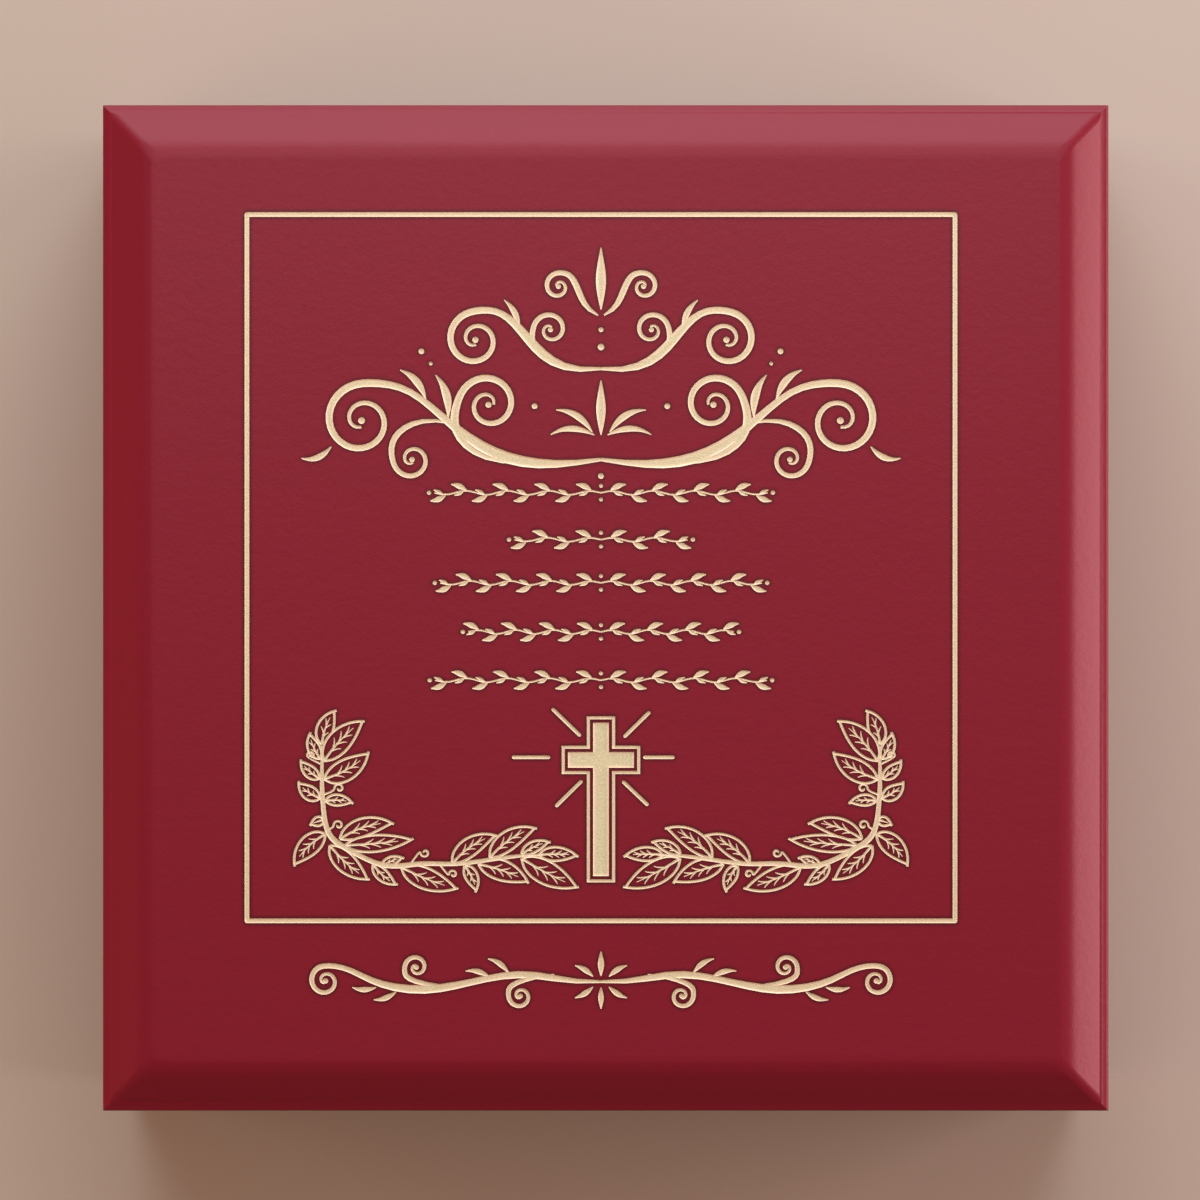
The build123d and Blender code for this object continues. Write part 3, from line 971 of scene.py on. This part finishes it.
def sink(cutter):
    """Turns flat faces that lie over the lid into a cutter with slightly sloping walls."""
    face_outward()
    bpy.ops.mesh.extrude_region_move(TRANSFORM_OT_translate={"value": (0, 0, lift - start_height)})
    bpy.ops.mesh.inset(thickness=draft, depth=0, use_boundary=True)
    bpy.ops.transform.translate(value=(0, 0, -engraving_depth - lift))
    face_outward()


border_middle = (design_x, border_y, top_in_mm + start_height)
bpy.ops.object.select_all(action="DESELECT")
bpy.ops.mesh.primitive_plane_add(size=1, location=border_middle)
border_cutter = newest("border_cutter")
border_cutter.scale = (border_width, border_height, 1)
settle(border_cutter)
bpy.ops.object.mode_set(mode="EDIT")
bpy.ops.mesh.select_all(action="SELECT")
bpy.ops.mesh.bevel(affect="VERTICES", offset=border_round, segments=3, profile=0.5)
bpy.ops.mesh.delete(type="ONLY_FACE")
bpy.ops.mesh.primitive_plane_add(size=1, location=border_middle)
bpy.ops.transform.resize(value=(border_width - 2 * border_line, border_height - 2 * border_line, 1))
bpy.ops.mesh.delete(type="ONLY_FACE")
bpy.ops.mesh.select_all(action="SELECT")
bpy.ops.mesh.bridge_edge_loops()
sink(border_cutter)
bpy.ops.object.mode_set(mode="OBJECT")
print("border", [round(c, 2) for c in border_cutter.dimensions])

# %% The cross
def on_side(side_x, side_y):
    """A test for the edge on one side of the cross's middle square."""
    there = Vector((design_x + side_x * cross_bar / 2, cross_y + side_y * cross_bar / 2))
    return lambda edge: ((edge.verts[0].co + edge.verts[1].co).xy / 2 - there).length < 0.01


cross_middle = (design_x, cross_y, top_in_mm + start_height)
bpy.ops.object.select_all(action="DESELECT")
bpy.ops.mesh.primitive_plane_add(size=cross_bar, location=cross_middle)
cross_cutter = newest("cross_cutter")
settle(cross_cutter)
bpy.ops.object.mode_set(mode="EDIT")
arms = [
    ((0, 1), cross_above - cross_bar / 2),
    ((0, -1), cross_below - cross_bar / 2),
    ((1, 0), (cross_span - cross_bar) / 2),
    ((-1, 0), (cross_span - cross_bar) / 2),
]
for (side_x, side_y), length in arms:
    pick(cross_cutter, "edges", on_side(side_x, side_y))
    outward = (side_x * length, side_y * length, 0)
    bpy.ops.mesh.extrude_region_move(TRANSFORM_OT_translate={"value": outward})
bpy.ops.mesh.select_all(action="SELECT")
bpy.ops.mesh.inset(thickness=cross_line, use_boundary=True)
bpy.ops.mesh.inset(thickness=cross_gap, use_boundary=True)
cross_cutter.update_from_editmode()
print("cross", len(cross_cutter.data.polygons), "faces")

# %% Bare ground between the cross and its outline
def is_bare_ground(face):
    """The ring from cross_line to cross_line + cross_gap inside the cross's edge."""
    middle = face.calc_center_median()
    x, y = abs(middle.x - design_x), middle.y - cross_y
    from_upright = cross_bar / 2 - x
    from_ends = min(cross_above - y, y + cross_below)
    from_arm = cross_bar / 2 - abs(y)
    from_tips = cross_span / 2 - x
    inside = max(min(from_upright, from_ends), min(from_arm, from_tips))
    return cross_line < inside < cross_line + cross_gap


pick(cross_cutter, "faces", is_bare_ground)
bpy.ops.mesh.delete(type="FACE")
sink(cross_cutter)
bpy.ops.object.mode_set(mode="OBJECT")
print("cross with bare ground,", len(cross_cutter.data.polygons), "faces")

# %% Cut, pass by pass
panel.scale = (1 / mm,) * 3
settle(panel)
cut(panel, border_cutter)
cut(panel, cross_cutter)
for number, layer in enumerate(passes):
    cut(panel, make_cutter(f"pass_{number}", [stroke for _, stroke in layer]))
panel.scale = (mm,) * 3
settle(panel)
print("engraved,", len(panel.data.polygons), "faces")

# %% Sand the mitres, and shade the curves smooth
flat_half = flat_edge[0]
mitre_width = 0.9 * mm


def is_mitre(edge):
    a, b = (v.co for v in edge.verts)
    one_corner = a.x * b.x > 0 and a.y * b.y > 0
    on_diagonal = all(abs(abs(v.x) - abs(v.y)) < near for v in (a, b))
    between = all(flat_half - near < abs(v.x) < step_top[0] + near for v in (a, b))
    return one_corner and on_diagonal and between and min(a.z, b.z) > step_top[1] - near


only(panel)
bpy.ops.object.mode_set(mode="EDIT")
mesh = pick(panel, "edges", is_mitre)
print(sum(edge.select for edge in mesh.edges), "mitre edges")
bpy.ops.mesh.bevel(offset=mitre_width, segments=4, profile=0.5)
bpy.ops.object.mode_set(mode="OBJECT")
for point in panel.data.vertices:
    point.co.z = min(point.co.z, panel_top)
bpy.ops.object.shade_smooth_by_angle(angle=radians(25))
modify(panel, "WEIGHTED_NORMAL", keep_sharp=True)

panel.data.materials.clear()
panel.data.materials.append(lacquer)
panel.data.materials.append(gilding)
# Faces of the flat that lie between these depths belong to a cut.
shallowest = 0.002 * mm
deepest = 1 * mm
gilded = 0
for face in panel.data.polygons:
    centre = face.center
    on_flat = max(abs(centre.x), abs(centre.y)) < flat_half - flat_margin
    if on_flat and panel_top - deepest < centre.z < panel_top - shallowest:
        face.material_index = 1
        gilded += 1
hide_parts("lid_panel")
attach(panel, "lid")
print(gilded, "gilded faces")

# %% [markdown]
# ## Velvet, felt and card
#
# Velvet is dark where one looks into the pile and pale where the pile turns its side to the
# light, which is what the shader's sheen does. The pile also lies this way in one place and
# that way in another, so a soft wandering pattern shifts the colour, and a fine nap tilts the
# surface. Felt is flatter and hairier, and card is plain with a few fibres.

# %% Velvet, felt and card
def new_cloth(name, deep, worn, nap, sheen):
    """A piled cloth. nap is how high its pile stands, and sheen how much it catches the light."""
    made, tree, shader = new_material(name)
    lie = place_group(tree, speckle, Fineness=70.0, Contrast=3.2)["Speckle"]
    pile = place_group(tree, speckle, Fineness=2600.0, Contrast=2.4)["Speckle"]
    mixed = reckon(tree, "MULTIPLY", reckon(tree, "ADD", lie, pile), 0.5)
    tree.links.new(blend_colours(tree, mixed, deep, worn), shader.inputs["Base Color"])
    tree.links.new(bump(tree, pile, nap), shader.inputs["Normal"])
    set_up(shader, Roughness=0.9, Specular_IOR_Level=0.15, Sheen_Weight=sheen, Sheen_Roughness=0.45)
    return made


pile_height = 0.25 * mm
fibre_height = 0.03 * mm
velvet_dark = (0.0015, 0.0014, 0.0018, 1)
velvet_pale = (0.019, 0.018, 0.022, 1)
velvet = new_cloth("black_velvet", velvet_dark, velvet_pale, pile_height, 0.34)
felt_pale = (0.03, 0.027, 0.026, 1)
felt = new_cloth("black_felt", (0.008, 0.007, 0.007, 1), felt_pale, pile_height, 0.1)
card = new_cloth("grey_card", (0.26, 0.24, 0.21, 1), (0.34, 0.32, 0.29, 1), fibre_height, 0.0)
print("finishes", velvet.name, felt.name, card.name)

# %% [markdown]
# ## Brass and nickel
#
# The hinges are drawn brass, polished and then lacquered. They keep fine lines along their
# length, and the brass has toned a little darker in places. The magnets are nickel plated,
# with the small marks that magnets get from snapping together.

# %% Brass and nickel
def new_metal(name, dark, bright, smooth, rough, stretch):
    """A metal with fine lines. smooth and rough are the ends of its roughness."""
    made, tree, shader = new_material(name)
    lines = place_group(tree, fine_grain, Fineness=2500.0, Stretch=stretch)["Grain"]
    toned = place_group(tree, speckle, Fineness=260.0, Contrast=2.0)["Speckle"]
    tree.links.new(blend_colours(tree, toned, dark, bright), shader.inputs["Base Color"])
    spread = reckon(tree, "MULTIPLY", lines, rough - smooth)
    tree.links.new(reckon(tree, "ADD", spread, smooth), shader.inputs["Roughness"])
    tree.links.new(bump(tree, lines, 0.01 * mm), shader.inputs["Normal"])
    set_up(shader, Metallic=1.0)
    return made


brass = new_metal("drawn_brass", (0.60, 0.41, 0.17, 1), (0.80, 0.60, 0.30, 1), 0.18, 0.42, 0.04)
nickel = new_metal("nickel_plate", (0.60, 0.59, 0.57, 1), (0.74, 0.73, 0.71, 1), 0.12, 0.34, 1.0)
print("finishes", brass.name, nickel.name)

# %% [markdown]
# ## The lining
#
# Four thin boards covered in velvet line the walls and stand up past the rim, where their
# rounded tops guide the lid. The velvet is drawn over a little wadding, so the face swells
# softly between the ends. Each is a block whose top edges are rounded, divided finely enough
# to swell.

# %% Lining boards
liner_round = 0.7 * mm
liner_swell = 0.12 * mm
cuts_along = 39
cuts_up = 11


def make_liner(side):
    """One velvet-covered board, in the space of its CAD solid."""
    low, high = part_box(f"{side}_liner")
    along = 0 if side in ("front", "back") else 1
    across = 1 - along
    inward = -1 if side in ("right", "back") else 1

    def is_top_edge(edge):
        a, b = (v.co for v in edge.verts)
        return min(a.z, b.z) > high.z - near and abs(a[across] - b[across]) < near

    bpy.ops.object.select_all(action="DESELECT")
    bpy.ops.mesh.primitive_cube_add(size=1, location=(low + high) / 2)
    liner = newest(f"velvet_{side}_liner")
    liner.scale = high - low
    settle(liner)
    bpy.ops.object.mode_set(mode="EDIT")
    pick(liner, "edges", is_top_edge)
    bpy.ops.mesh.bevel(offset=liner_round, segments=4, profile=0.5)
    pick(liner, "edges", lambda edge: abs(edge.verts[0].co[along] - edge.verts[1].co[along]) > near)
    bpy.ops.mesh.subdivide(number_cuts=cuts_along)
    pick(liner, "edges", lambda edge: abs(edge.verts[0].co.z - edge.verts[1].co.z) > 10 * mm)
    bpy.ops.mesh.subdivide(number_cuts=cuts_up)
    face_outward()
    bpy.ops.object.mode_set(mode="OBJECT")
    length, height = high[along] - low[along], high.z - low.z
    face = high[across] if inward == 1 else low[across]
    for point in liner.data.vertices:
        if abs(point.co[across] - face) < near:
            t = (point.co[along] - low[along]) / length
            u = (point.co.z - low.z) / height
            soft = (max(0, sin(pi * t)) * max(0, sin(pi * min(1, u / 0.98)))) ** 0.4
            wave = 0.8 + 0.2 * sin(17 * t + 3 * u) * cos(9 * u + 5 * t)
            point.co[across] -= inward * liner_swell * (1 - soft * wave)
    bpy.ops.object.shade_smooth_by_angle(angle=radians(40))
    liner.data.materials.append(velvet)
    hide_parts(f"{side}_liner")
    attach(liner, "base")
    return liner


for side in ("front", "right", "back", "left"):
    print(make_liner(side).name)

# %% [markdown]
# ## The pads
#
# A velvet pad lies on a card board at the bottom of the box, and another is held in the lid.
# Each starts as a thin slab, is remeshed to an even skin and blown up a little as cloth, with
# its underside held to the board. Cloth behaves best at about the size of a seat cushion, so
# the slab is swollen at four times its size. The wadding is thicker in the middle, which
# crowns the pad, and at the end the pad is drawn to the exact space that it has.

# %% Pads
cloth_scale = 4
pad_start = 0.62
pad_margin = 1.0 * mm
pad_round = 0.8 * mm
pad_voxel = 1.4 * mm
pad_pressure = 0.22
pad_crown = 0.3
held_within = 0.3 * mm
cloth_frames = 20


def make_pad(name, low, high, shown):
    """A swollen pad between low and high. shown is 1 if its soft side faces up, -1 if down."""
    size = high - low
    held = low.z if shown == 1 else high.z
    bpy.ops.object.select_all(action="DESELECT")
    bpy.ops.mesh.primitive_cube_add(size=1, location=(0, 0, shown * size.z * pad_start / 2))
    pad = newest(name)
    pad.scale = (size.x - pad_margin, size.y - pad_margin, size.z * pad_start)
    settle(pad)
    pad.scale = (cloth_scale,) * 3
    settle(pad)
    modify(pad, "BEVEL", width=pad_round * cloth_scale, segments=3, limit_method="ANGLE")
    modify(pad, "REMESH", mode="VOXEL", voxel_size=pad_voxel * cloth_scale)
    pinned = pad.vertex_groups.new(name="held")
    for point in pad.data.vertices:
        if abs(point.co.z) < held_within * cloth_scale:
            pinned.add([point.index], 1.0, "REPLACE")
    cloth = pad.modifiers.new("cloth", "CLOTH")
    cloth.settings.vertex_group_mass = "held"
    cloth.settings.use_pressure = True
    cloth.settings.uniform_pressure_force = pad_pressure
    cloth.settings.effector_weights.gravity = 0
    for moment in range(1, cloth_frames + 1):
        bpy.context.scene.frame_set(moment)
    only(pad)
    bpy.ops.object.modifier_apply(modifier="cloth")
    bpy.context.scene.frame_set(1)
    pad.scale = (1 / cloth_scale,) * 3
    settle(pad)
    wide = max(abs(point.co.x) for point in pad.data.vertices)
    deep = max(abs(point.co.y) for point in pad.data.vertices)
    for point in pad.data.vertices:
        crown = (1 - (point.co.x / wide) ** 2) * (1 - (point.co.y / deep) ** 2)
        point.co.z *= 1 + pad_crown * crown
    tallest = max(abs(point.co.z) for point in pad.data.vertices)
    middle = (low + high) / 2
    for point in pad.data.vertices:
        x = middle.x + point.co.x / wide * size.x / 2
        y = middle.y + point.co.y / deep * size.y / 2
        rise = max(0, shown * point.co.z / tallest * size.z)
        point.co = (x, y, held + shown * rise)
    modify(pad, "SUBSURF", levels=1, render_levels=1)
    bpy.ops.object.shade_smooth()
    pad.data.materials.append(velvet)
    print(name, len(pad.data.polygons), "faces, swollen to", round(tallest / mm, 2), "mm")
    return pad


for replaced, body, shown in (("floor_pad", "base", 1), ("lid_pad", "lid", -1)):
    low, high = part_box(replaced)
    pad = make_pad(f"velvet_{replaced}", low, high, shown)
    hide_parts(replaced)
    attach(pad, body)

# %% [markdown]
# ## Finishes for the pieces that stay as they are
#
# The walls, rails, floor, boards, feet, hinges and magnets keep their CAD shapes. Each gets
# its finish by its name.

# %% Finishes by name
finish_of = {"hinge": brass, "magnet": nickel, "foot": felt, "board": card}
for name, piece in nodes.items():
    finish = wall_lacquer
    for word, other in finish_of.items():
        if word in name:
            finish = other
    for place in piece.material_slots:
        place.material = finish
print("finished", len(nodes), "pieces")
